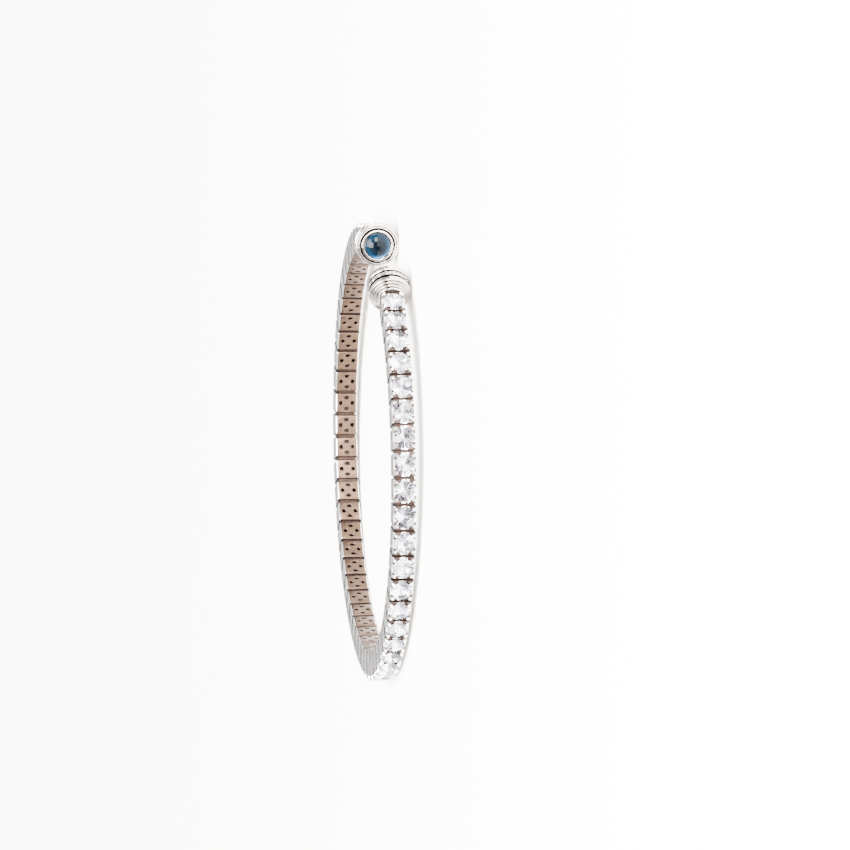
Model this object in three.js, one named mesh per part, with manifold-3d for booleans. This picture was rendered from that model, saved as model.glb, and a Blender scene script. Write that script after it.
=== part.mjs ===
// Flexible tennis cuff. Fifty-one square four-claw links, each with a round brilliant-cut stone,
// sit side by side on a flat spring core. The core ends in two stepped drums, which face each
// other across the opening and carry a ring of small stones and a domed stone each.
// Millimetres, +Z up. The cuff lies on its side with its opening towards -Y, and leans a
// little, because the drums are wider than the links.

import * as THREE from "three";
import { mergeVertices } from "three/addons/utils/BufferGeometryUtils.js";
import { ConvexGeometry } from "three/addons/geometries/ConvexGeometry.js";
import Module from "manifold-3d";

const wasm = await Module();
wasm.setup();

// Driving dimensions of the run of links

const LINK_COUNT = 51;
const STONE_DIAMETER = 2.75;
const STONE_MARGIN = 0.1; // metal that shows round the stone, seen from outside
const LINK_GAP = 0.35; // clear space between two links
const OVALNESS = 0.07; // share by which the loop is wider than round along X
const MOUTH = 9.4; // clear way between the two domed stones, along the loop

// Driving dimensions of one link, from the inner face outwards

const PLATE_THICKNESS = 0.45; // the pierced plate that lies on the wrist
const PLATE_BEVEL = 0.22;
const CHANNEL_HEIGHT = 0.7; // the way that the spring core takes through the link
const CHANNEL_WALL = 0.4;
const SEAT_THICKNESS = 2.3; // the metal between the core and the stone
const GIRDLE_HEIGHT = 0.13; // how high the stone's edge stands over its seat
const CROWN_HEIGHT = 0.42;
const TABLE_SHARE = 0.57; // of the stone's diameter
const CLAW_RADIUS = 0.34;
const CLAW_TIP_RADIUS = 0.24;
const CLAW_RISE = 0.1; // how far the claws stand over the stone's table
const PLATE_HOLE_DIAMETER = 0.44;
const PLATE_HOLE_INSET = 0.28; // from the channel's wall to the hole's middle

// Driving dimensions of the spring core

const CORE_WIDTH = 1.1;
const CORE_THICKNESS = 0.36;
const CORE_END = 0.9; // how deep the core reaches into each drum

// Driving dimensions of one drum, from its neck to its face

const NECK_RADIUS = 1.95;
const NECK_LENGTH = 0.4;
const STEP_COUNT = 2; // rings that step up from the neck to the flange
const STEP_LENGTH = 0.3;
const FLANGE_LENGTH = 0.85;
const PAVE_LENGTH = 0.95;
const PAVE_DROP = 0.14; // how far the ring of stones lies below the flange
const PAVE_THICKNESS = 0.5;
const PAVE_COUNT = 16;
const PAVE_STONE_DIAMETER = 0.8;
const PAVE_STONE_RISE = 0.14;
const CAP_LENGTH = 0.8;
const CAP_WALL = 0.7; // the cap's rounded outer ring, seen from the mouth
const RIM_BEVEL = 0.2;
const DOME_DIAMETER = 3.44; // the domed stone
const DOME_HEIGHT = 0.95; // how far it stands out of its collar
const DOME_SEAT = 0.5; // how deep it sits in its collar
const COLLAR_WALL = 0.28;
const COLLAR_RISE = 0.16; // how far the collar stands out of the cap
const GROOVE_WIDTH = 0.1; // between the collar and the cap's outer ring
const STUD_RADIUS = 1.3; // the stud on the drum that carries ring and cap
const FIT = 0.1; // clearance between pieces that sit on each other

const ROUND_SIDES = 16;
const STONE_SIDES = 8;
const CLAW_SIDES = 5;
const HOLE_SIDES = 6;
const DOME_BANDS = 3;
const CORE_STEPS = 56;

// Sizes that follow from them

const LINK_LENGTH = STONE_DIAMETER + 2 * STONE_MARGIN;
const LINK_WIDTH = LINK_LENGTH;
const PITCH = LINK_LENGTH + LINK_GAP;
const LINK_THICKNESS =
  PLATE_THICKNESS + CHANNEL_HEIGHT + SEAT_THICKNESS + GIRDLE_HEIGHT + CROWN_HEIGHT + CLAW_RISE;
const INNER_LEVEL = -LINK_THICKNESS / 2;
const CHANNEL_LEVEL = INNER_LEVEL + PLATE_THICKNESS;
const CORE_LEVEL = CHANNEL_LEVEL + CHANNEL_HEIGHT / 2;
const SEAT_LEVEL = CHANNEL_LEVEL + CHANNEL_HEIGHT + SEAT_THICKNESS;
const GIRDLE_LEVEL = SEAT_LEVEL + GIRDLE_HEIGHT;
const TABLE_LEVEL = GIRDLE_LEVEL + CROWN_HEIGHT;
const CLAW_LEVEL = TABLE_LEVEL + CLAW_RISE;
const CHANNEL_WIDTH = LINK_WIDTH - 2 * CHANNEL_WALL;

const COLLAR_RADIUS = DOME_DIAMETER / 2 + FIT + COLLAR_WALL;
const DRUM_RADIUS = COLLAR_RADIUS + GROOVE_WIDTH + CAP_WALL;
const STEPS_END = NECK_LENGTH + STEP_COUNT * STEP_LENGTH;
const FLANGE_END = STEPS_END + FLANGE_LENGTH;
const PAVE_START = FLANGE_END + FIT;
const PAVE_END = PAVE_START + PAVE_LENGTH;
const CAP_START = PAVE_END + FIT;
const CAP_END = CAP_START + CAP_LENGTH;
const COLLAR_END = CAP_END + COLLAR_RISE;
const DOME_START = COLLAR_END - DOME_SEAT;
const DRUM_LENGTH = COLLAR_END + DOME_HEIGHT;
const STUD_END = DOME_START - COLLAR_WALL;

const LOOP_LENGTH = LINK_COUNT * PITCH + LINK_GAP + 2 * DRUM_LENGTH + MOUTH;
const CHAIN_END = (LOOP_LENGTH - LINK_COUNT * PITCH) / 2;
const NECK_PLACE = CHAIN_END - LINK_GAP / 2;

// The middle line of the loop: an oval, short across the opening, long beside it.
// It starts in the middle of the opening and runs anticlockwise as seen from above.

class Loop extends THREE.Curve {
  constructor(radius) {
    super();
    this.radius = radius;
    this.arcLengthDivisions = 1440;
  }

  getPoint(share, target = new THREE.Vector3()) {
    const turn = 2 * Math.PI * share;
    const reach = this.radius * (1 - OVALNESS * Math.cos(2 * turn));
    return target.set(reach * Math.sin(turn), -reach * Math.cos(turn), 0);
  }
}

const MEAN_RADIUS = LOOP_LENGTH / new Loop(1).getLength();
const TIGHT_RADIUS = (MEAN_RADIUS * (1 + OVALNESS) ** 2) / (1 + 5 * OVALNESS);
const loop = new Loop(MEAN_RADIUS);

// The place on the loop at a distance from the middle of the opening, and its heading.
function station(distance) {
  const share = (distance / LOOP_LENGTH + 1) % 1;
  const tangent = loop.getTangentAt(share);
  return { point: loop.getPointAt(share), heading: Math.atan2(tangent.y, tangent.x) };
}

// The core's line lies inside the loop's middle line, at the level of the links' channels.
class CoreLine extends THREE.Curve {
  getPoint(share, target = new THREE.Vector3()) {
    const start = NECK_PLACE - CORE_END;
    const { point, heading } = station(start + share * (LOOP_LENGTH - 2 * start));
    const outward = new THREE.Vector3(Math.sin(heading), -Math.cos(heading), 0);
    return target.copy(point).addScaledVector(outward, CORE_LEVEL);
  }
}

// Solids: joining and cutting

function solid(geometry) {
  const bare = geometry.index ? geometry.toNonIndexed() : geometry.clone();
  for (const name of Object.keys(bare.attributes)) {
    if (name !== "position") bare.deleteAttribute(name);
  }
  const merged = mergeVertices(bare, 1e-5);
  return new wasm.Manifold(
    new wasm.Mesh({
      numProp: 3,
      vertProperties: new Float32Array(merged.attributes.position.array),
      triVerts: new Uint32Array(merged.index.array),
    }),
  );
}

function join(first, ...rest) {
  return rest.reduce((whole, piece) => whole.add(piece), first);
}

function shape(body) {
  const mesh = body.getMesh();
  const geometry = new THREE.BufferGeometry();
  geometry.setAttribute("position", new THREE.BufferAttribute(mesh.vertProperties, 3));
  geometry.setIndex(new THREE.BufferAttribute(mesh.triVerts, 1));
  const flat = geometry.toNonIndexed();
  flat.computeVertexNormals();
  return flat;
}

// The corners of a level polygon, turned so that its sides face along X and Y.
function ringOfPoints(sides, radius, height) {
  return Array.from({ length: sides }, (_, i) => {
    const angle = (2 * Math.PI * (i + 0.5)) / sides;
    return new THREE.Vector3(radius * Math.cos(angle), radius * Math.sin(angle), height);
  });
}

// A turned body about X from pairs of [place along X, radius], with a flat side facing down.
function turned(profile, sides = ROUND_SIDES) {
  const points = profile.map(([place, radius]) => new THREE.Vector2(radius, place));
  const half = Math.PI / sides;
  return new THREE.LatheGeometry(points, sides, half).rotateZ(-Math.PI / 2);
}

// One stone-set link. X runs along the cuff, Y across it and Z outwards from the wrist.

function linkBlock() {
  const halfLength = (level) =>
    (PITCH / 2) * (1 + level / TIGHT_RADIUS) - LINK_GAP / 2;
  const levels = [
    [INNER_LEVEL, LINK_WIDTH / 2 - PLATE_BEVEL],
    [INNER_LEVEL + PLATE_BEVEL, LINK_WIDTH / 2],
    [SEAT_LEVEL, LINK_WIDTH / 2],
  ];
  const corners = levels.flatMap(([level, y]) =>
    [-1, 1].flatMap((sx) =>
      [-1, 1].map((sy) => new THREE.Vector3(sx * halfLength(level), sy * y, level)),
    ),
  );
  return new ConvexGeometry(corners);
}

// The crown of a cut stone: a flat table and a ring of facets down to the girdle, and under
// the girdle the straight stump by which it is held.
function crown(diameter, bottom, girdle, table) {
  const radius = diameter / 2;
  return new ConvexGeometry([
    ...ringOfPoints(STONE_SIDES, radius, bottom),
    ...ringOfPoints(STONE_SIDES, radius, girdle),
    ...ringOfPoints(STONE_SIDES, radius * TABLE_SHARE, table),
  ]);
}

function linkShape() {
  const sunk = SEAT_THICKNESS / 2;
  const parts = [linkBlock()];
  parts.push(crown(STONE_DIAMETER, SEAT_LEVEL - sunk, GIRDLE_LEVEL, TABLE_LEVEL));
  const clawPlace = LINK_WIDTH / 2 - CLAW_RADIUS;
  const clawHeight = CLAW_LEVEL - SEAT_LEVEL + sunk;
  for (const [sx, sy] of [[-1, -1], [-1, 1], [1, -1], [1, 1]]) {
    const claw = new THREE.CylinderGeometry(CLAW_TIP_RADIUS, CLAW_RADIUS, clawHeight, CLAW_SIDES);
    claw.rotateX(Math.PI / 2);
    claw.translate(sx * clawPlace, sy * clawPlace, CLAW_LEVEL - clawHeight / 2);
    parts.push(claw);
  }
  const channel = new THREE.BoxGeometry(2 * PITCH, CHANNEL_WIDTH, CHANNEL_HEIGHT);
  channel.translate(0, 0, CORE_LEVEL);
  let body = join(...parts.map(solid)).subtract(solid(channel));
  const holePlace = CHANNEL_WIDTH / 2 - PLATE_HOLE_INSET;
  for (const side of [-1, 1]) {
    const hole = new THREE.CylinderGeometry(
      PLATE_HOLE_DIAMETER / 2,
      PLATE_HOLE_DIAMETER / 2,
      2 * PLATE_THICKNESS,
      HOLE_SIDES,
    );
    hole.rotateX(Math.PI / 2).translate(0, side * holePlace, INNER_LEVEL + PLATE_THICKNESS / 2);
    body = body.subtract(solid(hole));
  }
  return shape(body);
}

// The spring core: one flat strip through all links and into both drums

function coreShape() {
  const w = CORE_WIDTH / 2;
  const t = CORE_THICKNESS / 2;
  const section = new THREE.Shape([
    new THREE.Vector2(-w, -t),
    new THREE.Vector2(w, -t),
    new THREE.Vector2(w, t),
    new THREE.Vector2(-w, t),
  ]);
  return new THREE.ExtrudeGeometry(section, { steps: CORE_STEPS, extrudePath: new CoreLine() });
}

// One drum end. X runs from the last link towards the mouth, Z outwards from the wrist.

function drumShape() {
  const profile = [[0, 0], [0, NECK_RADIUS]];
  const rise = (DRUM_RADIUS - NECK_RADIUS) / (STEP_COUNT + 1);
  for (let i = 0; i < STEP_COUNT; i++) {
    const place = NECK_LENGTH + i * STEP_LENGTH;
    profile.push([place, NECK_RADIUS + i * rise], [place, NECK_RADIUS + (i + 1) * rise]);
  }
  profile.push(
    [STEPS_END, DRUM_RADIUS - rise],
    [STEPS_END, DRUM_RADIUS - RIM_BEVEL],
    [STEPS_END + RIM_BEVEL, DRUM_RADIUS],
    [FLANGE_END, DRUM_RADIUS],
    [FLANGE_END, STUD_RADIUS],
    [STUD_END, STUD_RADIUS],
    [STUD_END, 0],
  );
  const slot = new THREE.BoxGeometry(
    2 * (CORE_END + FIT),
    CORE_WIDTH + 2 * FIT,
    CORE_THICKNESS + 2 * FIT,
  );
  slot.translate(0, 0, CORE_LEVEL);
  return shape(solid(turned(profile)).subtract(solid(slot)));
}

function paveRingShape() {
  const outer = DRUM_RADIUS - PAVE_DROP;
  const inner = outer - PAVE_THICKNESS;
  const band = [
    [PAVE_START, inner],
    [PAVE_START, outer],
    [PAVE_END, outer],
    [PAVE_END, inner],
    [PAVE_START, inner],
  ];
  const flat = outer * Math.cos(Math.PI / ROUND_SIDES);
  const stones = Array.from({ length: PAVE_COUNT }, (_, i) => {
    const girdle = flat - PAVE_STONE_RISE / 2;
    const stone = crown(PAVE_STONE_DIAMETER, girdle - FIT, girdle, flat + PAVE_STONE_RISE);
    stone.translate((PAVE_START + PAVE_END) / 2, 0, 0);
    return solid(stone.rotateX((2 * Math.PI * i) / PAVE_COUNT));
  });
  return shape(join(solid(turned(band)), ...stones));
}

function capShape() {
  const seat = DOME_DIAMETER / 2 + FIT;
  const bore = STUD_RADIUS + FIT;
  const groove = COLLAR_RADIUS + GROOVE_WIDTH;
  return turned([
    [CAP_START, bore],
    [CAP_START, DRUM_RADIUS - RIM_BEVEL],
    [CAP_START + RIM_BEVEL, DRUM_RADIUS],
    [CAP_END - RIM_BEVEL, DRUM_RADIUS],
    [CAP_END, DRUM_RADIUS - RIM_BEVEL],
    [CAP_END, groove],
    [CAP_END - RIM_BEVEL, groove],
    [CAP_END - RIM_BEVEL, COLLAR_RADIUS],
    [COLLAR_END, COLLAR_RADIUS],
    [COLLAR_END, seat],
    [DOME_START, seat],
    [DOME_START, bore],
    [CAP_START, bore],
  ]);
}

function domeShape() {
  const radius = DOME_DIAMETER / 2;
  const profile = [[DOME_START + FIT, 0], [DOME_START + FIT, radius]];
  for (let i = 0; i < DOME_BANDS; i++) {
    const rise = (Math.PI / 2) * (i / DOME_BANDS);
    profile.push([COLLAR_END + DOME_HEIGHT * Math.sin(rise), radius * Math.cos(rise)]);
  }
  profile.push([COLLAR_END + DOME_HEIGHT, 0]);
  return turned(profile);
}

// Materials

const metal = { color: 0xd9d6d2, roughness: 0.16, metalness: 1 };
const innerMetal = { color: 0xb9b5af, roughness: 0.3, metalness: 1 };
const clearStone = { color: 0xeef2f6, roughness: 0.04, metalness: 0 };
const blueStone = { color: 0x0c3f66, roughness: 0.06, metalness: 0 };

function piece(name, geometry, finish) {
  const mesh = new THREE.Mesh(geometry, new THREE.MeshStandardMaterial(finish));
  mesh.name = name;
  return mesh;
}

// Assembly

const cuff = new THREE.Group();

const linkGeometry = linkShape().rotateX(Math.PI / 2);
for (let i = 0; i < LINK_COUNT; i++) {
  const link = piece(`link_${String(i + 1).padStart(2, "0")}`, linkGeometry, metal);
  const { point, heading } = station(CHAIN_END + (i + 0.5) * PITCH);
  link.position.copy(point);
  link.rotation.z = heading;
  cuff.add(link);
}

cuff.add(piece("spring_core", coreShape(), innerMetal));

// Each end is built to point at the mouth. The right one is also rolled half a turn about its
// axis, so that the core's slot stays on the inner side.
const ends = [
  { side: "left", distance: -NECK_PLACE, turn: 0, roll: 0 },
  { side: "right", distance: NECK_PLACE, turn: Math.PI, roll: Math.PI },
];
for (const { side, distance, turn, roll } of ends) {
  const { point, heading } = station(distance);
  const end = new THREE.Group();
  end.position.copy(point);
  end.rotation.z = heading + turn;
  const axis = new THREE.Group();
  axis.rotation.x = Math.PI / 2 + roll;
  axis.add(piece(`${side}_drum`, drumShape(), metal));
  axis.add(piece(`${side}_pave_ring`, paveRingShape(), clearStone));
  axis.add(piece(`${side}_end_cap`, capShape(), metal));
  axis.add(piece(`${side}_domed_stone`, domeShape(), blueStone));
  end.add(axis);
  cuff.add(end);
}

// At rest the cuff touches the surface with both drums and with the links behind them, so it
// leans by the angle that brings those down to one level.
const flangeBack = -station(NECK_PLACE - STEPS_END).point.y;
const linkBack = MEAN_RADIUS * (1 - OVALNESS) + SEAT_LEVEL;
const drumDrop = DRUM_RADIUS * Math.cos(Math.PI / ROUND_SIDES) - LINK_WIDTH / 2;
const lean = Math.atan(drumDrop / (flangeBack + linkBack));
cuff.rotation.x = -lean;
cuff.updateMatrixWorld(true);

// The origin is under the middle of the cuff, on the surface that it lies on.
const box = new THREE.Box3().setFromObject(cuff, true);
const middle = box.getCenter(new THREE.Vector3());
const model = new THREE.Group();
model.add(cuff);
cuff.position.set(-middle.x, -middle.y, -box.min.z);

export default model;
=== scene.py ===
import math
import random

import bmesh
import bpy
import numpy as np
from mathutils import Matrix, Vector


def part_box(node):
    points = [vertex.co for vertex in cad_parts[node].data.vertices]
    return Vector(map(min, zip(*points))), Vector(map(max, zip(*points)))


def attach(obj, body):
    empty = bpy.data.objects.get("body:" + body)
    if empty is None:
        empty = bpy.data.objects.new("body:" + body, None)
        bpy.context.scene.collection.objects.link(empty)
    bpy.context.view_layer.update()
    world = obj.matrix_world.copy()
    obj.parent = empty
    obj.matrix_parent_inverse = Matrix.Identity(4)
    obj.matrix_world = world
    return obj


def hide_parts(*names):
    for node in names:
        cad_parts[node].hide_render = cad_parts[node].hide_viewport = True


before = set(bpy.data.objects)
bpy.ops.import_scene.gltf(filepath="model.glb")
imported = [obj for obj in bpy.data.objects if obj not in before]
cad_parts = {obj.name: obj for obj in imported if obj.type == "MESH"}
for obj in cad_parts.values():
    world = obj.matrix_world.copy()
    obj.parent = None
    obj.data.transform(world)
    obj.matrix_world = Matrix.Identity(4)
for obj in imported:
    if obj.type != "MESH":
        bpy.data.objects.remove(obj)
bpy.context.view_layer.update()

# The finish of an open flexible cuff: fifty-one square four-claw settings with round brilliants on
# a spring core, and two stepped drums with a band of small stones and a domed blue stone each.
# Shapes are worked out in millimetres and turned into metres where they become objects.

MM = 0.001

# Sizes of the run of links

LINK_COUNT = 51
STONE_DIAMETER = 2.75
STONE_MARGIN = 0.1
LINK_GAP = 0.35
OVALNESS = 0.07
MOUTH = 9.4

# Sizes of one link, from the inner face outwards

PLATE_THICKNESS = 0.45
CHANNEL_HEIGHT = 0.7
CHANNEL_WALL = 0.4
SEAT_THICKNESS = 2.3
GIRDLE_HEIGHT = 0.13
CROWN_HEIGHT = 0.42
PAVILION_HEIGHT = 1.18
GIRDLE_EDGE = 0.04
TABLE_SHARE = 0.57
STAR_SHARE = 0.8
STAR_HEIGHT_SHARE = 0.6
TIP_SHARE = 0.05
CLAW_INSET = 0.29  # from the link's side to the middle of a claw
CLAW_RISE = 0.1
SMALL_CORNER = 0.05  # of the channel and the spacers

# The hollows between the claws, and how far their middle lines lie above the seat

HOLLOW_RADIUS = 1.3
LONG_HOLLOW_RISE = 1.2
CROSS_HOLLOW_RISE = 1.16

# The plate's holes: distance from its middle, radius, and how much longer than wide they are

SIDE_HOLES = (0.8, 0.26, 1.0)
END_HOLES = (0.76, 0.21, 1.6)
HOLE_FLARE = 0.12

# Sizes of the spacers that sit on the core in the gaps between the links, coloured dark as painted
# shade in the gaps

SPACER_LENGTH = 0.28
SPACER_WIDTH = 2.5
SPACER_RISE = 0.3  # from the inner face to where they start
SPACER_DROP = 0.34  # from the seat down to where they end
END_SPACER_DROP = 0.06  # the same, for the two beside the drums
SPACER_SLANT = 0.06
SPACER_SLANT_HEIGHT = 0.1
SLOT_WIDTH = 1.24
SLOT_HEIGHT = 0.52

# Sizes of one drum, from its neck to the top of its domed stone

NECK_RADIUS = 1.95
NECK_LENGTH = 0.4
STEP_COUNT = 2
STEP_LENGTH = 0.3
FLANGE_LENGTH = 0.85
PAVE_LENGTH = 0.95
PAVE_DROP = 0.14
PAVE_THICKNESS = 0.5
PAVE_COUNT = 16
PAVE_STONE_LOOK = 0.64  # as wide as a small stone shows between its beads
PAVE_STONE_RISE = 0.14
PAVE_STONE_DEPTH = 0.3
PAVE_STONE_EDGE = 0.02
BEAD_RADIUS = 0.1
BEAD_SHIFT = 0.24  # from the middle of the band to each row of beads
CAP_LENGTH = 0.8
CAP_WALL = 0.7
DOME_DIAMETER = 3.44
DOME_HEIGHT = 0.95
DOME_SEAT = 0.5
COLLAR_WALL = 0.28
COLLAR_RISE = 0.16
GROOVE_WIDTH = 0.1
FLANGE_DROP = 0.1  # how far the flange lies below the cap
NOTCH = 0.14  # width and depth of the notch in the corner of each step
GAP_LOOK = 0.18  # by how much more the gaps beside the small stones show
GROOVE_LOOK = 0.27  # as wide as the groove shows between its rounded edges
GROOVE_DEPTH = 0.4
LINE_RADIUS = 2.58  # the fine turned line near the cap's edge
LINE_WIDTH = 0.11
LINE_DEPTH = 0.14
STUD_RADIUS = 1.3
FIT = 0.1
DOME_FIT = 0.02

# Sizes that follow from them

LINK_LENGTH = STONE_DIAMETER + 2 * STONE_MARGIN
LINK_WIDTH = LINK_LENGTH
PITCH = LINK_LENGTH + LINK_GAP
LINK_THICKNESS = (
    PLATE_THICKNESS + CHANNEL_HEIGHT + SEAT_THICKNESS + GIRDLE_HEIGHT + CROWN_HEIGHT + CLAW_RISE
)
INNER_LEVEL = -LINK_THICKNESS / 2
CHANNEL_LEVEL = INNER_LEVEL + PLATE_THICKNESS
CORE_LEVEL = CHANNEL_LEVEL + CHANNEL_HEIGHT / 2
SEAT_LEVEL = CHANNEL_LEVEL + CHANNEL_HEIGHT + SEAT_THICKNESS
GIRDLE_LEVEL = SEAT_LEVEL + GIRDLE_HEIGHT
CLAW_LEVEL = GIRDLE_LEVEL + CROWN_HEIGHT + CLAW_RISE
CHANNEL_WIDTH = LINK_WIDTH - 2 * CHANNEL_WALL
HALF_CLAW_SPAN = LINK_WIDTH / 2 - CLAW_INSET

COLLAR_RADIUS = DOME_DIAMETER / 2 + FIT + COLLAR_WALL
CORNER_RADIUS = COLLAR_RADIUS + GROOVE_WIDTH + CAP_WALL
DRUM_RADIUS = CORNER_RADIUS * math.cos(math.pi / PAVE_COUNT)
FLANGE_LOOK = DRUM_RADIUS - FLANGE_DROP
STEPS_END = NECK_LENGTH + STEP_COUNT * STEP_LENGTH
FLANGE_END = STEPS_END + FLANGE_LENGTH
PAVE_START = FLANGE_END + FIT
PAVE_END = PAVE_START + PAVE_LENGTH
CAP_START = PAVE_END + FIT
CAP_END = CAP_START + CAP_LENGTH
COLLAR_END = CAP_END + COLLAR_RISE
DOME_START = COLLAR_END - DOME_SEAT
DRUM_LENGTH = COLLAR_END + DOME_HEIGHT

LOOP_LENGTH = LINK_COUNT * PITCH + LINK_GAP + 2 * DRUM_LENGTH + MOUTH
CHAIN_END = (LOOP_LENGTH - LINK_COUNT * PITCH) / 2
NECK_PLACE = CHAIN_END - LINK_GAP / 2

# The photograph's camera: it stands beside the cuff, a little above the surface, and is rolled
# so that the cuff's axis lies level in the picture.

CAMERA_AIM = Vector((0.00082, -0.00329, -0.00464))
CAMERA_AZIMUTH = math.radians(25.55)
CAMERA_DROP = math.radians(8.29)
CAMERA_ROLL = math.radians(89.32)
CAMERA_DISTANCE = 0.8969
CAMERA_LENS = 283.6
SENSOR_WIDTH = 36.0

# The studio

WORLD_STRENGTH = 2.6
SUN_STRENGTH = 32.0
SUN_SPREAD = math.radians(50)
WARM_DARK = (0.035, 0.028, 0.025)
CEILING = (0.97, 0.96, 0.95)
FLOOR_HALF = 6.0
FLOOR_DROP = 0.00002

# The two lamps near the cuff are alike but for their place and power

LAMP_DISTANCE = 0.6
LAMP_SIZE = 0.3
LAMP_COLOUR = (1.0, 0.99, 0.98)

# The tall soft boxes round the cuff: where each starts and ends, as shares of a full turn
BOXES = [(0.14, 0.235), (0.285, 0.36), (0.4, 0.49), (0.65, 0.75), (0.8, 0.85), (0.885, 0.985)]
BOX_EDGE = 0.012
BACK_GLOW = (0.5, 0.64, 0.6)  # start, end and brightness of the lit wall behind the cuff

# Fineness of the meshes

ROUND_SIDES = 96
CORNER_POINTS = 5
CLAW_SIDES = 12
DOME_BANDS = 24
CRISP_RADIUS = 0.04  # of the corners of a profile that are kept crisp
SLACK = 0.01  # how far past its walls the faces of a groove are looked for

# Which of a stone's lower facets carry painted dark reflection, and the seed that turns the stones

DARK_REFLECTION_FACETS = (2, 5, 6)
STONE_SEED = 7


# The middle line of the loop


def loop_point(turn, radius):
    reach = radius * (1 - OVALNESS * np.cos(2 * turn))
    return np.array([reach * np.sin(turn), -reach * np.cos(turn)])


TURNS = np.linspace(0, 2 * math.pi, 14401)
UNIT_STEPS = np.linalg.norm(np.diff(loop_point(TURNS, 1.0), axis=1), axis=0)
UNIT_LENGTHS = np.concatenate([[0.0], np.cumsum(UNIT_STEPS)])
MEAN_RADIUS = LOOP_LENGTH / UNIT_LENGTHS[-1]
TIGHT_RADIUS = MEAN_RADIUS * (1 + OVALNESS) ** 2 / (1 + 5 * OVALNESS)


def station(distance):
    """The point of the loop at a distance from the middle of the opening, and its heading."""
    turn = np.interp(distance % LOOP_LENGTH, UNIT_LENGTHS * MEAN_RADIUS, TURNS)
    reach = MEAN_RADIUS * (1 - OVALNESS * math.cos(2 * turn))
    growth = 2 * OVALNESS * MEAN_RADIUS * math.sin(2 * turn)
    along = growth * math.sin(turn) + reach * math.cos(turn)
    up = reach * math.sin(turn) - growth * math.cos(turn)
    x, y = loop_point(turn, MEAN_RADIUS)
    return Vector((x, y, 0)), math.atan2(up, along)


def flat_place(distance, turn=0.0, roll=0.0):
    """X along the cuff, Z outwards, before the cuff is laid down on its drums."""
    point, heading = station(distance)
    upright = Matrix.Rotation(math.pi / 2 + roll, 4, "X")
    return Matrix.Translation(point) @ Matrix.Rotation(heading + turn, 4, "Z") @ upright


def laid_down():
    """The turn and shift that lay the cuff on its drums and its back links."""
    flange_back = -station(NECK_PLACE - STEPS_END)[0].y
    link_back = MEAN_RADIUS * (1 - OVALNESS) + SEAT_LEVEL
    drop = DRUM_RADIUS - LINK_WIDTH / 2
    lean = Matrix.Rotation(-math.atan(drop / (flange_back + link_back)), 4, "X")
    low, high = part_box("left_pave_ring")
    middle = Vector(((PAVE_START + PAVE_END) / 2, 0, 0))
    return Matrix.Translation((low + high) / 2 / MM - lean @ flat_place(-NECK_PLACE) @ middle) @ lean


LAID = laid_down()
LINK_PLACES = [LAID @ flat_place(CHAIN_END + (i + 0.5) * PITCH) for i in range(LINK_COUNT)]
END_PLACES = {
    "left": LAID @ flat_place(-NECK_PLACE),
    "right": LAID @ flat_place(NECK_PLACE, math.pi, math.pi),
}


# Mesh helpers


def fill(name, points, faces, smooth=True):
    mesh = bpy.data.meshes.new(name)
    mesh.from_pydata([tuple(p) for p in points], [], faces)
    body = bmesh.new()
    body.from_mesh(mesh)
    bmesh.ops.recalc_face_normals(body, faces=body.faces)
    body.to_mesh(mesh)
    body.free()
    if smooth:
        mesh.shade_smooth()
    return mesh


def loft(name, rings):
    """A closed body through rings of equally many points."""
    count = len(rings[0])
    points = [p for ring in rings for p in ring]
    faces = []
    for r in range(len(rings) - 1):
        for i in range(count):
            j = (i + 1) % count
            faces.append((r * count + i, r * count + j, (r + 1) * count + j, (r + 1) * count + i))
    faces.append(tuple(range(count)))
    faces.append(tuple(range((len(rings) - 1) * count, len(rings) * count)))
    return fill(name, points, faces)


def circle(radius, height, sides, start=0.0, stretch=1.0):
    turns = [2 * math.pi * (i + start) / sides for i in range(sides)]
    return [Vector((radius * math.cos(t), stretch * radius * math.sin(t), height)) for t in turns]


def rounded_rectangle(half_x, half_y, radius, height):
    points = []
    for quarter, (sx, sy) in enumerate([(1, 1), (-1, 1), (-1, -1), (1, -1)]):
        for i in range(CORNER_POINTS):
            turn = (quarter + i / (CORNER_POINTS - 1)) * math.pi / 2
            x = sx * (half_x - radius) + radius * math.cos(turn)
            y = sy * (half_y - radius) + radius * math.sin(turn)
            points.append(Vector((x, y, height)))
    return points


def combined(base, tools, operation):
    """The base mesh joined with, or cut by, each of the tools."""
    body = bpy.data.objects.new("body", base)
    bpy.context.collection.objects.link(body)
    helpers = []
    for tool in tools:
        helper = bpy.data.objects.new("tool", tool)
        bpy.context.collection.objects.link(helper)
        change = body.modifiers.new("change", "BOOLEAN")
        change.operation = operation
        change.solver = "EXACT"
        change.object = helper
        helpers.append(helper)
    bpy.context.view_layer.update()
    seen = body.evaluated_get(bpy.context.evaluated_depsgraph_get())
    result = bpy.data.meshes.new_from_object(seen)
    for helper in helpers:
        bpy.data.objects.remove(helper)
    bpy.data.objects.remove(body)
    return result


def copies(name, mesh, places):
    """One mesh made of copies of a millimetre mesh, in metres, one at each place."""
    joined = bmesh.new()
    for place in places:
        first = len(joined.verts)
        joined.from_mesh(mesh)
        joined.verts.ensure_lookup_table()
        scaled = Matrix.Scale(MM, 4) @ place
        bmesh.ops.transform(joined, matrix=scaled, verts=joined.verts[first:])
    result = bpy.data.meshes.new(name)
    joined.to_mesh(result)
    joined.free()
    return result


def joined_mesh(name, meshes):
    body = bmesh.new()
    for mesh in meshes:
        body.from_mesh(mesh)
    result = bpy.data.meshes.new(name)
    body.to_mesh(result)
    body.free()
    return result


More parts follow.
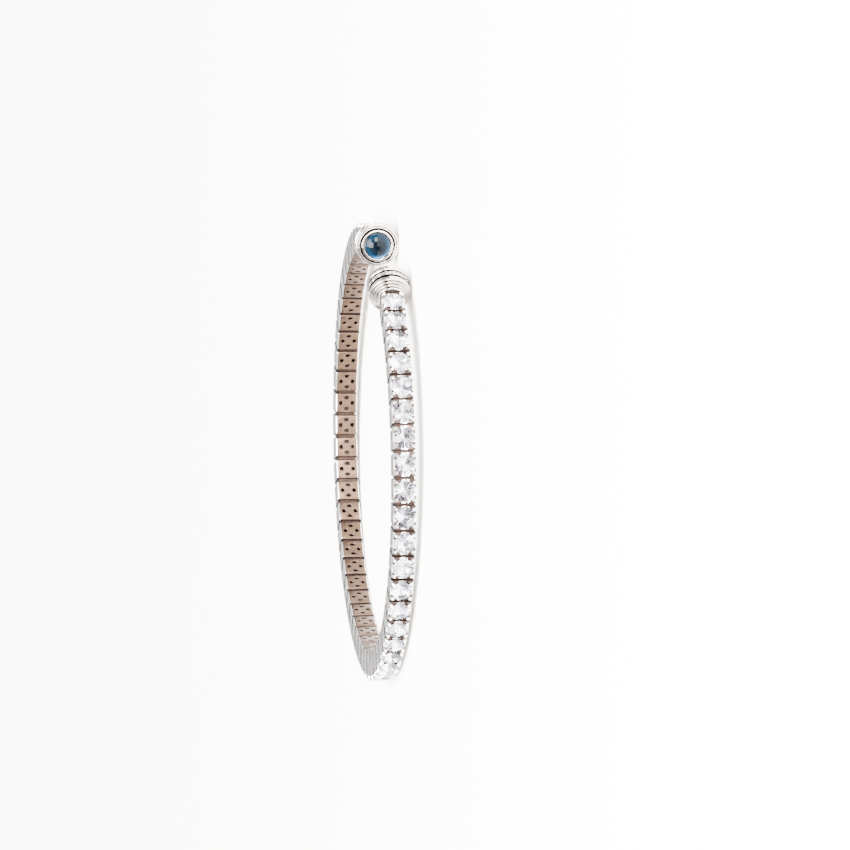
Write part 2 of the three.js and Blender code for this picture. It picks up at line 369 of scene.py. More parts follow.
def piece(name, mesh, materials, nodes=(), sharp=None):
    """A finished object of the cuff. Its mesh is in metres and already in its place."""
    for material in materials:
        mesh.materials.append(material)
    if sharp is not None:
        mesh.shade_smooth()
        mesh.set_sharp_from_angle(angle=math.radians(sharp))
    body = bpy.data.objects.new(name, mesh)
    bpy.context.collection.objects.link(body)
    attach(body, "root")
    if nodes:
        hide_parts(*nodes)
    return body


def softened(profile, radius, steps=3, crisp=()):
    """A closed profile with rounded corners, where there is room; the crisp ones less so."""
    points = [Vector(p) for p in profile]
    rounded = []
    for i, corner in enumerate(points):
        before = points[i - 1] - corner
        after = points[(i + 1) % len(points)] - corner
        if min(abs(corner.y), before.length, after.length) < 1e-6:
            rounded.append(corner)
            continue
        wanted = CRISP_RADIUS if i in crisp else radius
        reach = min(wanted, 0.45 * before.length, 0.45 * after.length)
        start = corner + before.normalized() * reach
        end = corner + after.normalized() * reach
        for k in range(steps + 1):
            share = k / steps
            inner = start.lerp(corner, share)
            rounded.append(inner.lerp(corner.lerp(end, share), share))
    return rounded


def turned_body(name, profile, sides=ROUND_SIDES):
    """A body turned about X from a closed profile of places along X and radii."""
    points, faces = [], []
    for place, radius in profile:
        for i in range(sides):
            turn = 2 * math.pi * i / sides
            points.append((place, radius * math.cos(turn), radius * math.sin(turn)))
    count = len(profile)
    for r in range(count):
        following = (r + 1) % count
        if max(profile[r][1], profile[following][1]) < 1e-9:
            continue
        for i in range(sides):
            j = (i + 1) % sides
            faces.append((r * sides + i, r * sides + j, following * sides + j, following * sides + i))
    mesh = bpy.data.meshes.new(name)
    mesh.from_pydata(points, [], faces)
    body = bmesh.new()
    body.from_mesh(mesh)
    bmesh.ops.remove_doubles(body, verts=body.verts, dist=1e-5)
    loose = [v for v in body.verts if not v.link_faces]
    bmesh.ops.delete(body, geom=loose, context="VERTS")
    bmesh.ops.recalc_face_normals(body, faces=body.faces)
    body.to_mesh(mesh)
    body.free()
    return mesh


# Materials


def material(name, **sockets):
    made = bpy.data.materials.new(name)
    made.use_nodes = True
    shader = made.node_tree.nodes["Principled BSDF"]
    for socket, value in sockets.items():
        shader.inputs[socket.replace("_", " ")].default_value = value
    return made, made.node_tree, shader


def noise(tree, scale, detail=4.0, roughness=0.55):
    node = tree.nodes.new("ShaderNodeTexNoise")
    node.inputs["Scale"].default_value = scale
    node.inputs["Detail"].default_value = detail
    node.inputs["Roughness"].default_value = roughness
    coordinates = tree.nodes.new("ShaderNodeTexCoord")
    tree.links.new(coordinates.outputs["Object"], node.inputs["Vector"])
    return node.outputs["Fac"]


def ramp(tree, source, stops):
    node = tree.nodes.new("ShaderNodeValToRGB")
    elements = node.color_ramp.elements
    while len(elements) < len(stops):
        elements.new(0.5)
    for element, (place, colour) in zip(elements, stops):
        element.position = place
        element.color = (*colour, 1.0)
    tree.links.new(source, node.inputs["Fac"])
    return node.outputs["Color"]


def spread(tree, source, low, high):
    node = tree.nodes.new("ShaderNodeMapRange")
    node.inputs["From Min"].default_value = 0.3
    node.inputs["From Max"].default_value = 0.7
    node.inputs["To Min"].default_value = low
    node.inputs["To Max"].default_value = high
    tree.links.new(source, node.inputs["Value"])
    return node.outputs["Result"]


def bump(tree, shader, source, strength, distance):
    node = tree.nodes.new("ShaderNodeBump")
    node.inputs["Strength"].default_value = strength
    node.inputs["Distance"].default_value = distance
    tree.links.new(source, node.inputs["Height"])
    tree.links.new(node.outputs["Normal"], shader.inputs["Normal"])


def metal(name, light, dark, smooth, rough, patch=900.0, grain=9000.0):
    """Polished metal with faint clouds in its tone and fine marks of handling; on the drums the darker
    warm clouds are painted reflection.
    """
    made, tree, shader = material(name, Metallic=1.0)
    cloud = noise(tree, patch)
    tree.links.new(ramp(tree, cloud, [(0.3, dark), (0.7, light)]), shader.inputs["Base Color"])
    tree.links.new(spread(tree, noise(tree, patch * 2.5), smooth, rough), shader.inputs["Roughness"])
    bump(tree, shader, noise(tree, grain, 6.0, 0.65), strength=0.12, distance=0.000004)
    return made


def cut_stone(name):
    """Clear stone with a breath of tone, bending light less than a real one so its facets show."""
    made, tree, shader = material(name, Roughness=0.0, IOR=1.33, Transmission_Weight=1.0)
    cloud = noise(tree, 160.0, 2.0)
    tone = ramp(tree, cloud, [(0.35, (0.93, 0.94, 0.985)), (0.65, (1.0, 1.0, 1.0))])
    tree.links.new(tone, shader.inputs["Base Color"])
    return made


def blue_stone(name):
    """Deep blue with painted light: nearly black in the middle, lighter towards the rim, and glowing
    along one side of its rim as if lit from within.
    """
    made, tree, shader = material(name, Roughness=0.03, IOR=1.5, Specular_IOR_Level=0.08)
    rim = tree.nodes.new("ShaderNodeAttribute")
    rim.attribute_name = "rim"
    painted_glow = tree.nodes.new("ShaderNodeAttribute")
    painted_glow.attribute_name = "painted_glow"
    # Painted light: lighter towards the rim, and brighter still along one side of it.
    deep = ramp(
        tree,
        rim.outputs["Fac"],
        [(0.0, (0.0006, 0.0012, 0.002)), (0.5, (0.0008, 0.0022, 0.004)), (0.82, (0.001, 0.006, 0.012)),
         (1.0, (0.001, 0.004, 0.009))],
    )
    lit = ramp(
        tree,
        painted_glow.outputs["Fac"],
        [(0.0, (0.0, 0.0, 0.0)), (0.5, (0.0005, 0.012, 0.032)), (1.0, (0.004, 0.075, 0.16))],
    )
    mix = tree.nodes.new("ShaderNodeMix")
    mix.data_type = "RGBA"
    mix.blend_type = "ADD"
    mix.inputs["Factor"].default_value = 1.0
    tree.links.new(deep, mix.inputs["A"])
    tree.links.new(lit, mix.inputs["B"])
    tree.links.new(mix.outputs["Result"], shader.inputs["Base Color"])
    return made


def facet(name, light, dark):
    """A lower facet of a stone, which throws the light back up through the crown."""
    made, tree, shader = material(name, Metallic=1.0, Roughness=0.09)
    tone = ramp(tree, noise(tree, 700.0), [(0.35, dark), (0.65, light)])
    tree.links.new(tone, shader.inputs["Base Color"])
    return made


SETTING_METAL = metal("setting_metal", (0.84, 0.83, 0.82), (0.7, 0.685, 0.67), 0.08, 0.2)
# The drums' darker warm clouds are painted reflection: soft warm patches where the polished drum would
# mirror its surroundings.
DRUM_METAL = metal("drum_metal", (0.74, 0.7, 0.67), (0.32, 0.275, 0.245), 0.05, 0.12, 330.0)
# The inner plates' dark warm brown is painted reflection of warm surroundings in the polished metal.
PLATE_REFLECTION_METAL = metal("plate_reflection", (0.085, 0.054, 0.036), (0.053, 0.033, 0.022), 0.28, 0.42)
# The seat's shoulders round the claws are coloured dark as painted shade, so the claws stand out.
SEAT_SHADE_METAL = metal("seat_shade", (0.05, 0.034, 0.03), (0.025, 0.017, 0.015), 0.2, 0.35)
SIDE_METAL = metal("side_metal", (0.86, 0.84, 0.825), (0.68, 0.66, 0.64), 0.08, 0.2)
# Painted shade, dark brown, on the hole walls, the channel and the link ends that face the gaps.
RECESS_SHADE_METAL = metal("recess_shade", (0.062, 0.042, 0.036), (0.034, 0.023, 0.019), 0.4, 0.6)
# The spacers' near-black brown is painted shade deep in the gaps between the links.
SPACER_SHADE_METAL = metal("spacer_shade", (0.028, 0.018, 0.0155), (0.015, 0.01, 0.0085), 0.35, 0.55)
# Near-black painted shade in the drums' grooves, notches and gaps, and along the links' rounded side
# corners.
GROOVE_SHADE_METAL = metal("groove_shade", (0.012, 0.008, 0.0065), (0.006, 0.004, 0.0035), 0.3, 0.5)
CORE_METAL = metal("core_metal", (0.034, 0.022, 0.018), (0.018, 0.012, 0.01), 0.35, 0.5)
CLEAR_STONE = cut_stone("clear_stone")
BRIGHT_FACET = facet("bright_facet", (0.97, 0.975, 1.0), (0.86, 0.87, 0.93))
# The darker lower facets are painted dark reflection in the stones.
DARK_REFLECTION_FACET = facet("dark_reflection_facet", (0.34, 0.32, 0.37), (0.19, 0.175, 0.21))
BLUE_STONE = blue_stone("blue_stone")
STONE_FACES = [CLEAR_STONE, BRIGHT_FACET, DARK_REFLECTION_FACET]
DRUM_FACES = [DRUM_METAL, GROOVE_SHADE_METAL]
LINK_FACES = [SETTING_METAL, PLATE_REFLECTION_METAL, RECESS_SHADE_METAL, SEAT_SHADE_METAL, SIDE_METAL, GROOVE_SHADE_METAL]
METAL_FACE, PLATE_REFLECTION_FACE, RECESS_SHADE_FACE, SEAT_SHADE_FACE, SIDE_FACE, EDGE_SHADE_FACE = range(len(LINK_FACES))


# Links


def half_length(level):
    return PITCH / 2 * (1 + level / TIGHT_RADIUS) - LINK_GAP / 2


def block():
    """The square body of a link with softened edges, shorter at its inner face."""
    corner = 0.14
    # each level with how far the sides lie in there
    levels = [
        (INNER_LEVEL, 0.13),
        (INNER_LEVEL + 0.03, 0.07),
        (INNER_LEVEL + 0.09, 0.02),
        (INNER_LEVEL + 0.16, 0.0),
        (0.0, 0.0),
        (SEAT_LEVEL - 0.12, 0.0),
        (SEAT_LEVEL - 0.05, 0.015),
        (SEAT_LEVEL - 0.01, 0.05),
        (SEAT_LEVEL, 0.1),
    ]
    rings = []
    for level, inset in levels:
        x = half_length(level) - inset
        y = LINK_WIDTH / 2 - inset
        rings.append(rounded_rectangle(x, y, corner, level))
    return loft("block", rings)


def claw(sx, sy):
    """A round claw that rises at a corner and bends in over the stone."""
    inward = Vector((-sx, -sy, 0)).normalized()
    aside = Vector((0, 0, 1)).cross(inward)
    foot = Vector((sx * HALF_CLAW_SPAN, sy * HALF_CLAW_SPAN, 0))
    # how far in its middle lies, at what level, and how thick it is there
    spine = [
        (0.0, SEAT_LEVEL - 0.5, 0.27),
        (0.0, SEAT_LEVEL + 0.02, 0.26),
        (0.03, GIRDLE_LEVEL + 0.1, 0.25),
        (0.09, GIRDLE_LEVEL + 0.24, 0.23),
        (0.15, GIRDLE_LEVEL + 0.36, 0.19),
        (0.19, GIRDLE_LEVEL + 0.45, 0.13),
        (0.21, GIRDLE_LEVEL + 0.5, 0.06),
    ]
    rings = []
    for reach, level, radius in spine:
        middle = foot + inward * reach + Vector((0, 0, level))
        turns = [2 * math.pi * i / CLAW_SIDES for i in range(CLAW_SIDES)]
        rings.append([
            middle + inward * radius * math.cos(t) + aside * radius * math.sin(t) for t in turns
        ])
    return loft("claw", rings)


def lying_cylinder(axis, radius, length, middle, sides=32):
    """A plain cutter, laid down by a quarter turn about X or Y."""
    rings = [circle(radius, -length / 2, sides), circle(radius, length / 2, sides)]
    mesh = loft("cutter", rings)
    mesh.transform(Matrix.Translation(middle) @ Matrix.Rotation(math.pi / 2, 4, axis))
    return mesh


def flared_hole(x, y, radius, stretch):
    """A hole through the inner plate that opens a little at its lower edge."""
    rings = [
        circle(radius + HOLE_FLARE, INNER_LEVEL - 0.06, 16, 0.5, stretch),
        circle(radius, INNER_LEVEL + 0.06, 16, 0.5, stretch),
        circle(radius, CHANNEL_LEVEL + 0.2, 16, 0.5, stretch),
    ]
    mesh = loft("hole", rings)
    mesh.transform(Matrix.Translation((x, y, 0)))
    return mesh


def setting():
    """One link's metal: claws and block joined, then the channel, seat and holes cut out."""
    joined = combined(block(), [claw(sx, sy) for sx in (-1, 1) for sy in (-1, 1)], "UNION")
    channel = loft("channel", [
        rounded_rectangle(PITCH, CHANNEL_WIDTH / 2, SMALL_CORNER, CHANNEL_LEVEL),
        rounded_rectangle(PITCH, CHANNEL_WIDTH / 2, SMALL_CORNER, CHANNEL_LEVEL + CHANNEL_HEIGHT),
    ])
    rim = STONE_DIAMETER / 2
    seat = loft("seat", [
        circle(0.06, GIRDLE_LEVEL - PAVILION_HEIGHT - 0.04, 32),
        circle(rim * 0.93, SEAT_LEVEL, 32),
        circle(rim + 0.02, GIRDLE_LEVEL - 0.03, 32),
        circle(rim + 0.02, GIRDLE_LEVEL + 0.05, 32),
        circle(rim * TABLE_SHARE, CLAW_LEVEL, 32),
    ])
    long_hollow = lying_cylinder(
        "Y", HOLLOW_RADIUS, 2 * PITCH, Vector((0, 0, SEAT_LEVEL + LONG_HOLLOW_RISE))
    )
    cross_hollow = lying_cylinder(
        "X", HOLLOW_RADIUS, 2 * PITCH, Vector((0, 0, SEAT_LEVEL + CROSS_HOLLOW_RISE))
    )
    reach, radius, stretch = SIDE_HOLES
    holes = [flared_hole(0, side * reach, radius, stretch) for side in (-1, 1)]
    reach, radius, stretch = END_HOLES
    holes += [flared_hole(side * reach, 0, radius, stretch) for side in (-1, 1)]
    return combined(joined, [channel, seat, long_hollow, cross_hollow, *holes], "DIFFERENCE")


def link_colour_or_shade(face):
    """Which of a link's colours a face gets, by where it lies and which way it looks: plain metal,
    painted shade in hollows, gaps and on rounded side corners, and painted reflection on the inner
    plates.
    """
    x, y, z = face.center
    level = abs(face.normal.z) > 0.9
    slanting = min(abs(face.normal.x), abs(face.normal.y)) > 0.15
    near_core = abs(z - CORE_LEVEL) < CHANNEL_HEIGHT / 2 + SLACK
    between_ends = INNER_LEVEL + 0.15 < z < SEAT_LEVEL - 0.1

    # Painted shade on hole walls, channel, link ends, shoulders and rounded side corners; painted
    # reflection on the inner plates.
    hole_wall = not level and math.hypot(x, y) < 1.12 and INNER_LEVEL + 0.02 < z < CHANNEL_LEVEL
    plate = level and z < INNER_LEVEL + 0.1
    shoulder = level and abs(z - SEAT_LEVEL) < 0.02 and min(abs(x), abs(y)) > 0.7
    channel = near_core and abs(y) < CHANNEL_WIDTH / 2 + SLACK
    edge = slanting and between_ends and abs(y) > LINK_WIDTH / 2 - 0.15
    end = abs(face.normal.x) > 0.4 and abs(x) > 1.2 and INNER_LEVEL + 0.03 < z < SEAT_LEVEL
    side = abs(face.normal.y) > 0.9 and abs(y) > LINK_WIDTH / 2 - 0.03
    colourings = [
        (hole_wall, RECESS_SHADE_FACE),
        (plate, PLATE_REFLECTION_FACE),
        (shoulder, SEAT_SHADE_FACE),
        (channel, RECESS_SHADE_FACE),
        (edge, EDGE_SHADE_FACE),
        (end, RECESS_SHADE_FACE),
        (side, SIDE_FACE),
    ]
    return next((finish for fits, finish in colourings if fits), METAL_FACE)


def brilliant(diameter, crown, pavilion, girdle):
    """A round brilliant: table, stars, kites, girdle facets and eight pavilion facets."""
    radius = diameter / 2
    rings = [
        circle(radius * TABLE_SHARE, crown, 8),
        circle(radius * STAR_SHARE, STAR_HEIGHT_SHARE * crown, 8, 0.5),
        circle(radius, 0.0, 16),
        circle(radius, -girdle, 16),
        circle(TIP_SHARE * radius, -pavilion, 8),
    ]
    points = [point for ring in rings for point in ring]
    table, star, top, bottom, tip = 0, 8, 16, 32, 48
    faces = [tuple(range(table, table + 8)), tuple(range(tip, tip + 8))]
    for i in range(8):
        j = (i + 1) % 8
        before = (i - 1) % 8
        here, next_one, following = 2 * i, 2 * i + 1, (2 * i + 2) % 16
        faces.append((table + i, table + j, star + i))
        faces.append((table + i, star + before, top + here, star + i))
        faces.append((star + i, top + here, top + next_one))
        faces.append((star + i, top + next_one, top + following))
        faces.append((tip + i, bottom + here, bottom + next_one, bottom + following, tip + j))
    for i in range(16):
        j = (i + 1) % 16
        faces.append((top + i, top + j, bottom + j, bottom + i))
    mesh = fill("brilliant", points, faces, smooth=False)
    lower = [face for face in mesh.polygons if face.center.z < -girdle - SLACK]
    # The listed lower facets get the painted dark reflection, the rest the bright mirror.
    for i, face in enumerate(lower):
        face.material_index = 2 if i in DARK_REFLECTION_FACETS else 1
    return mesh


def turned_stones(stone, places):
    """Copies of a stone, each turned about its own axis by chance."""
    chance = random.Random(STONE_SEED)
    turned = [place @ Matrix.Rotation(chance.uniform(0, 2 * math.pi), 4, "Z") for place in places]
    return copies("stones", stone, turned)


def spacer(drop):
    """A flat ring on the core, coloured dark as painted shade, which ends so far below the seat and
    fills most of a gap.
    """
    foot = INNER_LEVEL + SPACER_RISE
    top = SEAT_LEVEL - drop
    half = SPACER_WIDTH / 2
    rings = [
        rounded_rectangle(SPACER_LENGTH / 2, half - SPACER_SLANT, SMALL_CORNER, foot),
        rounded_rectangle(SPACER_LENGTH / 2, half, SMALL_CORNER, foot + SPACER_SLANT_HEIGHT),
        rounded_rectangle(SPACER_LENGTH / 2, half, SMALL_CORNER, top - SPACER_SLANT_HEIGHT),
        rounded_rectangle(SPACER_LENGTH / 2, half - SPACER_SLANT, SMALL_CORNER, top),
    ]
    body = loft("spacer", rings)
    slot = loft("slot", [
        rounded_rectangle(PITCH, SLOT_WIDTH / 2, SMALL_CORNER, CORE_LEVEL - SLOT_HEIGHT / 2),
        rounded_rectangle(PITCH, SLOT_WIDTH / 2, SMALL_CORNER, CORE_LEVEL + SLOT_HEIGHT / 2),
    ])
    return combined(body, [slot], "DIFFERENCE")


def make_spacers():
    places = [LAID @ flat_place(CHAIN_END + i * PITCH) for i in range(LINK_COUNT + 1)]
    between = copies("between", spacer(SPACER_DROP), places[1:-1])
    beside = copies("beside", spacer(END_SPACER_DROP), [places[0], places[-1]])
    mesh = joined_mesh("link_spacers", [between, beside])
    piece("link_spacers", mesh, [SPACER_SHADE_METAL], sharp=40)


def make_links():
    metal_mesh = setting()
    for face in metal_mesh.polygons:
        face.material_index = link_colour_or_shade(face)
    names = [f"link_{i + 1:02d}" for i in range(LINK_COUNT)]
    piece(
        "link_settings",
        copies("link_settings", metal_mesh, LINK_PLACES),
        LINK_FACES,
        names,
        sharp=32,
    )
    stone = brilliant(STONE_DIAMETER, CROWN_HEIGHT, PAVILION_HEIGHT, GIRDLE_EDGE)
    stone.transform(Matrix.Translation((0, 0, GIRDLE_LEVEL + GIRDLE_EDGE / 2)))
    piece("link_stones", turned_stones(stone, LINK_PLACES), STONE_FACES)


# Drums


def step_radius(i):
    """The radius of the drum before its step i, of which the last is the flange's."""
    return NECK_RADIUS + i * (FLANGE_LOOK - NECK_RADIUS) / (STEP_COUNT + 1)


def drum_profile():
    """Neck, steps with a fine notch in each corner, flange and stud."""
    profile = [(0, 0), (0, NECK_RADIUS)]
    for i in range(STEP_COUNT + 1):
        place = NECK_LENGTH + i * STEP_LENGTH
        profile += [
            (place - NOTCH, step_radius(i)),
            (place - NOTCH, step_radius(i) - NOTCH),
            (place, step_radius(i) - NOTCH),
            (place, step_radius(i + 1)),
        ]
    profile += [
        (FLANGE_END - GAP_LOOK, FLANGE_LOOK),
        (FLANGE_END - GAP_LOOK, STUD_RADIUS),
        (DOME_START - COLLAR_WALL, STUD_RADIUS),
        (DOME_START - COLLAR_WALL, 0),
    ]
    return softened(profile, radius=0.1)


def drum_mesh():
    mesh = turned_body("drum", drum_profile())
    # Painted shade in the notch of each step and in the gap before the band.
    for i in range(STEP_COUNT + 1):
        place = NECK_LENGTH + i * STEP_LENGTH
        paint_shade(mesh, place - NOTCH - SLACK, place + SLACK, 0, step_radius(i) - SLACK)
    return paint_shade(mesh, FLANGE_END - GAP_LOOK - SLACK, PAVE_END, 0, FLANGE_LOOK - 0.12)


def band_profile():
    """The ring under the small stones, with a low rim along each edge."""
    outer = DRUM_RADIUS - PAVE_DROP
    inner = outer - PAVE_THICKNESS
    rim_width = 0.07
    floor = outer - 0.1
    start = PAVE_START + GAP_LOOK
    end = PAVE_END - GAP_LOOK
    profile = [
        (start, inner),
        (start, outer),
        (start + rim_width, outer),
        (start + rim_width, floor),
        (end - rim_width, floor),
        (end - rim_width, outer),
        (end, outer),
        (end, inner),
    ]
    return softened(profile, radius=0.03, steps=2)


def cap_profile():
    """Rounded outer ring with its fine line, the deep groove, and the collar round the dome."""
    seat = DOME_DIAMETER / 2 + DOME_FIT
    bore = STUD_RADIUS + FIT
    groove = COLLAR_RADIUS + GROOVE_LOOK
    profile = [
        (CAP_START, bore),
        (CAP_START, DRUM_RADIUS),
        (CAP_END, DRUM_RADIUS),
        (CAP_END, LINE_RADIUS + LINE_WIDTH / 2),
        (CAP_END - LINE_DEPTH, LINE_RADIUS + LINE_WIDTH / 2),
        (CAP_END - LINE_DEPTH, LINE_RADIUS - LINE_WIDTH / 2),
        (CAP_END, LINE_RADIUS - LINE_WIDTH / 2),
        (CAP_END, groove),
        (CAP_END - GROOVE_DEPTH, groove),
        (CAP_END - GROOVE_DEPTH, COLLAR_RADIUS),
        (COLLAR_END, COLLAR_RADIUS),
        (COLLAR_END, seat),
        (DOME_START, seat),
        (DOME_START, bore),
    ]
    return softened(profile, radius=0.2, steps=5, crisp=range(3, 11))


def paint_shade(mesh, low, high, inner, outer):
    """Gives the faces of a turned body that lie in one groove the painted shade."""
    for face in mesh.polygons:
        x, y, z = face.center
        if low < x < high and inner < math.hypot(y, z) < outer:
            face.material_index = 1
    return mesh


def dome_mesh(side):
    """The domed stone, with where it is near its rim and where painted light gathers in it."""
    radius = DOME_DIAMETER / 2
    profile = [(DOME_START + FIT, 0.0), (DOME_START + FIT, radius)]
    for i in range(DOME_BANDS + 1):
        rise = math.pi / 2 * i / DOME_BANDS
        profile.append((COLLAR_END + DOME_HEIGHT * math.sin(rise), radius * math.cos(rise)))
    mesh = turned_body("dome", profile)
    rim = mesh.attributes.new("rim", "FLOAT", "POINT")
    painted_glow = mesh.attributes.new("painted_glow", "FLOAT", "POINT")
    sideways = 1 if side == "right" else -1
    for vertex in mesh.vertices:
        share = math.hypot(vertex.co.y, vertex.co.z) / radius
        around = math.atan2(vertex.co.z, sideways * vertex.co.y)
        rim.data[vertex.index].value = share
        # Painted light: soft along one side of the rim, with a bright crescent near it.
        soft = max(0.0, math.cos(around + math.radians(35))) ** 1.5
        soft *= min(1.0, max(0.0, (share - 0.6) / 0.3))
        bright = max(0.0, math.cos(around + math.radians(88))) ** 5
        bright *= min(1.0, max(0.0, (share - 0.72) / 0.16))
        painted_glow.data[vertex.index].value = min(1.0, 0.5 * soft + bright)
    return mesh


def around_drum(reach, step):
    """The places round a drum's band, from one stone to the next, in the drum's own frame."""
    middle = Matrix.Translation(((PAVE_START + PAVE_END) / 2, 0, 0))
    out = Matrix.Translation((0, 0, reach))
    turns = [2 * math.pi * (i + step) / PAVE_COUNT for i in range(PAVE_COUNT)]
    return [middle @ Matrix.Rotation(turn, 4, "X") @ out for turn in turns]


def small_stones(place, reach):
    stone = brilliant(PAVE_STONE_LOOK, PAVE_STONE_RISE, PAVE_STONE_DEPTH, PAVE_STONE_EDGE)
    return turned_stones(stone, [place @ spot for spot in around_drum(reach, 0.0)])


def beads(place, reach):
    """The beads that hold the small stones, two in each gap between them."""
    ball = bmesh.new()
    bmesh.ops.create_icosphere(ball, subdivisions=2, radius=BEAD_RADIUS)
    mesh = bpy.data.meshes.new("bead")
    ball.to_mesh(mesh)
    ball.free()
    shifts = [Matrix.Translation((shift, 0, 0)) for shift in (-BEAD_SHIFT, BEAD_SHIFT)]
    spots = around_drum(reach, 0.5)
    return copies("beads", mesh, [place @ shift @ spot for spot in spots for shift in shifts])


def set_down(mesh, place):
    """Moves a millimetre mesh to its place, in metres."""
    mesh.transform(Matrix.Scale(MM, 4) @ place)
    return mesh


def make_end(side):
    place = END_PLACES[side]
    band_top = DRUM_RADIUS - PAVE_DROP
    piece(f"{side}_drum_body", set_down(drum_mesh(), place), DRUM_FACES,
          [f"{side}_drum"], 40)
    ring = turned_body("ring", band_profile())
    # Painted shade in the gaps at both edges of the band.
    paint_shade(ring, 0, PAVE_START + GAP_LOOK + SLACK, 0, band_top - 0.02)
    paint_shade(ring, PAVE_END - GAP_LOOK - SLACK, CAP_END, 0, band_top - 0.02)
    band = joined_mesh("band", [set_down(ring, place), beads(place, band_top - 0.03)])
    piece(f"{side}_pave_band", band, DRUM_FACES, [f"{side}_pave_ring"], 40)
    piece(f"{side}_pave_stones", small_stones(place, band_top - 0.06), STONE_FACES)
    cap = turned_body("cap", cap_profile())
    # Painted shade on the cap's face beside the band, in its deep groove and in its fine turned line.
    paint_shade(cap, CAP_START - SLACK, CAP_START + SLACK, 0, DRUM_RADIUS - 0.1)
    groove = COLLAR_RADIUS + GROOVE_LOOK
    paint_shade(cap, CAP_END - GROOVE_DEPTH - SLACK, CAP_END - 0.06, COLLAR_RADIUS - SLACK, groove + SLACK)
    paint_shade(cap, CAP_END - LINE_DEPTH - SLACK, CAP_END - 0.03, LINE_RADIUS - 0.1, LINE_RADIUS + 0.1)
    piece(f"{side}_cap", set_down(cap, place), DRUM_FACES, [f"{side}_end_cap"], 40)
    piece(f"{side}_dome", set_down(dome_mesh(side), place), [BLUE_STONE],
          [f"{side}_domed_stone"], 60)


# Floor, light and camera


def make_floor():
    mesh = bpy.data.meshes.new("floor")
    half = FLOOR_HALF
    mesh.from_pydata([(-half, -half, 0), (half, -half, 0), (half, half, 0), (-half, half, 0)], [],
                     [(0, 1, 2, 3)])
    made, tree, shader = material("floor", Roughness=0.6)
    tone = ramp(tree, noise(tree, 2.0), [(0.3, (0.95, 0.915, 0.88)), (0.7, (0.97, 0.94, 0.91))])
    tree.links.new(tone, shader.inputs["Base Color"])
    mesh.materials.append(made)
    floor = bpy.data.objects.new("floor", mesh)
    floor.location.z = -FLOOR_DROP
    bpy.context.collection.objects.link(floor)


def make_light(name, direction, power):
    """A square lamp that shines on the cuff and isn't seen itself."""
    data = bpy.data.lights.new(name, "AREA")
    data.size = LAMP_SIZE
    data.energy = power
    data.color = LAMP_COLOUR
    lamp = bpy.data.objects.new(name, data)
    lamp.location = Vector(direction).normalized() * LAMP_DISTANCE
    lamp.rotation_euler = Vector(direction).to_track_quat("Z", "Y").to_euler()
    lamp.visible_camera = False
    bpy.context.collection.objects.link(lamp)


def make_sun(direction):
    """The wide soft light that makes the floor evenly bright."""
    data = bpy.data.lights.new("overhead", "SUN")
    data.energy = SUN_STRENGTH
    data.angle = SUN_SPREAD
    data.color = (1.0, 0.985, 0.97)
    lamp = bpy.data.objects.new("overhead", data)
    lamp.rotation_euler = Vector(direction).to_track_quat("Z", "Y").to_euler()
    bpy.context.collection.objects.link(lamp)


def blend(tree, factor, first, second):
    """Goes from the first colour to the second, each a link or a value, as the factor grows."""
    mix = tree.nodes.new("ShaderNodeMix")
    mix.data_type = "RGBA"
    tree.links.new(factor, mix.inputs["Factor"])
    for socket, colour in (("A", first), ("B", second)):
        if isinstance(colour, tuple):
            mix.inputs[socket].default_value = colour
        else:
            tree.links.new(colour, mix.inputs[socket])
    return mix.outputs["Result"]


def grey(level):
    """From the warm dark between the soft boxes, at 0, to their white, at 1."""
    return tuple(WARM_DARK[i] + (1 - WARM_DARK[i]) * level for i in range(3))


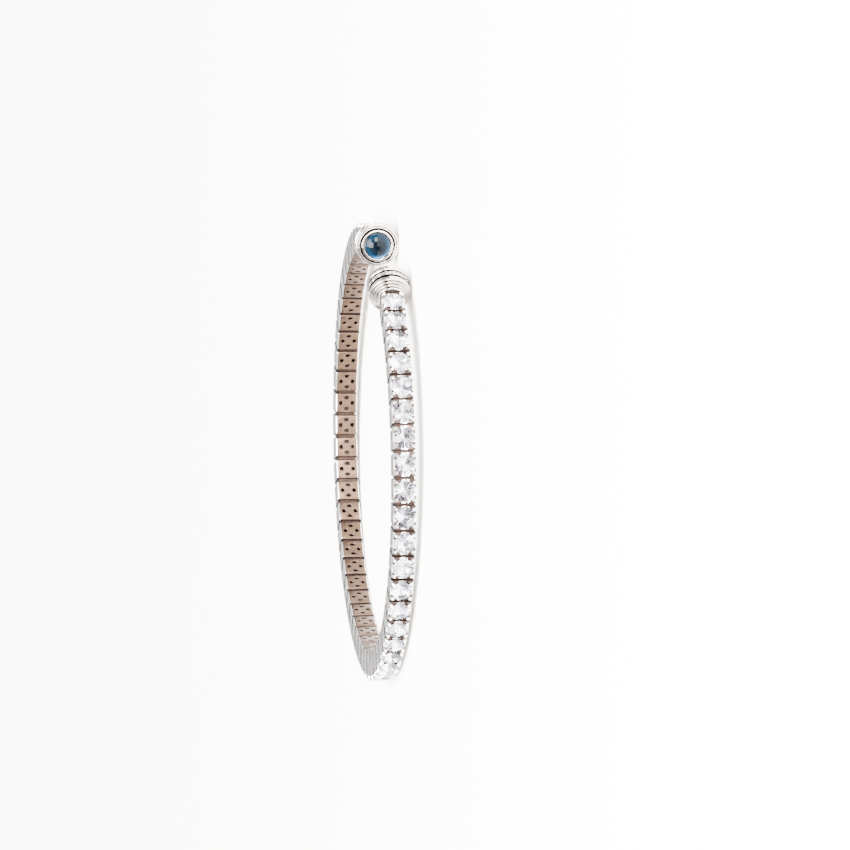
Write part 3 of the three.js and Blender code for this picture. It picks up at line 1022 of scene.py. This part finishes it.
def make_world():
    """A bright ceiling, and tall soft boxes with dark gaps between them round the cuff."""
    world = bpy.data.worlds.new("studio")
    world.use_nodes = True
    tree = world.node_tree
    way = tree.nodes.new("ShaderNodeTexCoord").outputs["Generated"]
    split = tree.nodes.new("ShaderNodeSeparateXYZ")
    tree.links.new(way, split.inputs["Vector"])
    around = tree.nodes.new("ShaderNodeTexGradient")
    around.gradient_type = "RADIAL"
    tree.links.new(way, around.inputs["Vector"])
    stops = [(0.0, grey(0))]
    for start, end in BOXES:
        stops += [(start - BOX_EDGE, grey(0)), (start, grey(1))]
        stops += [(end, grey(1)), (end + BOX_EDGE, grey(0))]
    start, end, level = BACK_GLOW
    stops += [(start + BOX_EDGE, grey(level)), (end - 2 * BOX_EDGE, grey(level))]
    walls = ramp(tree, around.outputs["Fac"], sorted(stops))
    foot = ramp(tree, split.outputs["Z"], [(0.06, (0.0, 0.0, 0.0)), (0.12, (1.0, 1.0, 1.0))])
    standing = blend(tree, foot, (*WARM_DARK, 1.0), walls)
    ceiling = ramp(tree, split.outputs["Z"], [(0.42, (0.0, 0.0, 0.0)), (0.5, (1.0, 1.0, 1.0))])
    everything = blend(tree, ceiling, standing, (*CEILING, 1.0))
    background = tree.nodes["Background"]
    tree.links.new(everything, background.inputs["Color"])
    background.inputs["Strength"].default_value = WORLD_STRENGTH
    bpy.context.scene.world = world


def make_camera():
    forward = Vector((
        math.cos(CAMERA_DROP) * math.cos(CAMERA_AZIMUTH),
        math.cos(CAMERA_DROP) * math.sin(CAMERA_AZIMUTH),
        -math.sin(CAMERA_DROP),
    ))
    level = forward.cross(Vector((0, 0, 1))).normalized()
    above = level.cross(forward)
    up = above * math.cos(CAMERA_ROLL) + level * math.sin(CAMERA_ROLL)
    right = forward.cross(up)
    data = bpy.data.cameras.new("camera")
    data.sensor_width = SENSOR_WIDTH
    data.lens = CAMERA_LENS
    data.clip_start = 0.05
    data.clip_end = 30.0
    camera = bpy.data.objects.new("camera", data)
    turned = Matrix((right, up, -forward)).transposed()
    camera.matrix_world = Matrix.Translation(CAMERA_AIM - forward * CAMERA_DISTANCE) @ turned.to_4x4()
    bpy.context.collection.objects.link(camera)
    bpy.context.scene.camera = camera


make_camera()
make_world()
make_floor()
make_sun((-0.35, -0.3, 0.85))
make_light("opening_box", (-0.62, -0.78, 0.03), power=28.0)
make_light("top_box", (-0.78, -0.23, 0.58), power=24.0)
make_links()
make_spacers()
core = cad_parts["spring_core"]
core.data.materials.clear()
core.data.materials.append(CORE_METAL)
for end in END_PLACES:
    make_end(end)
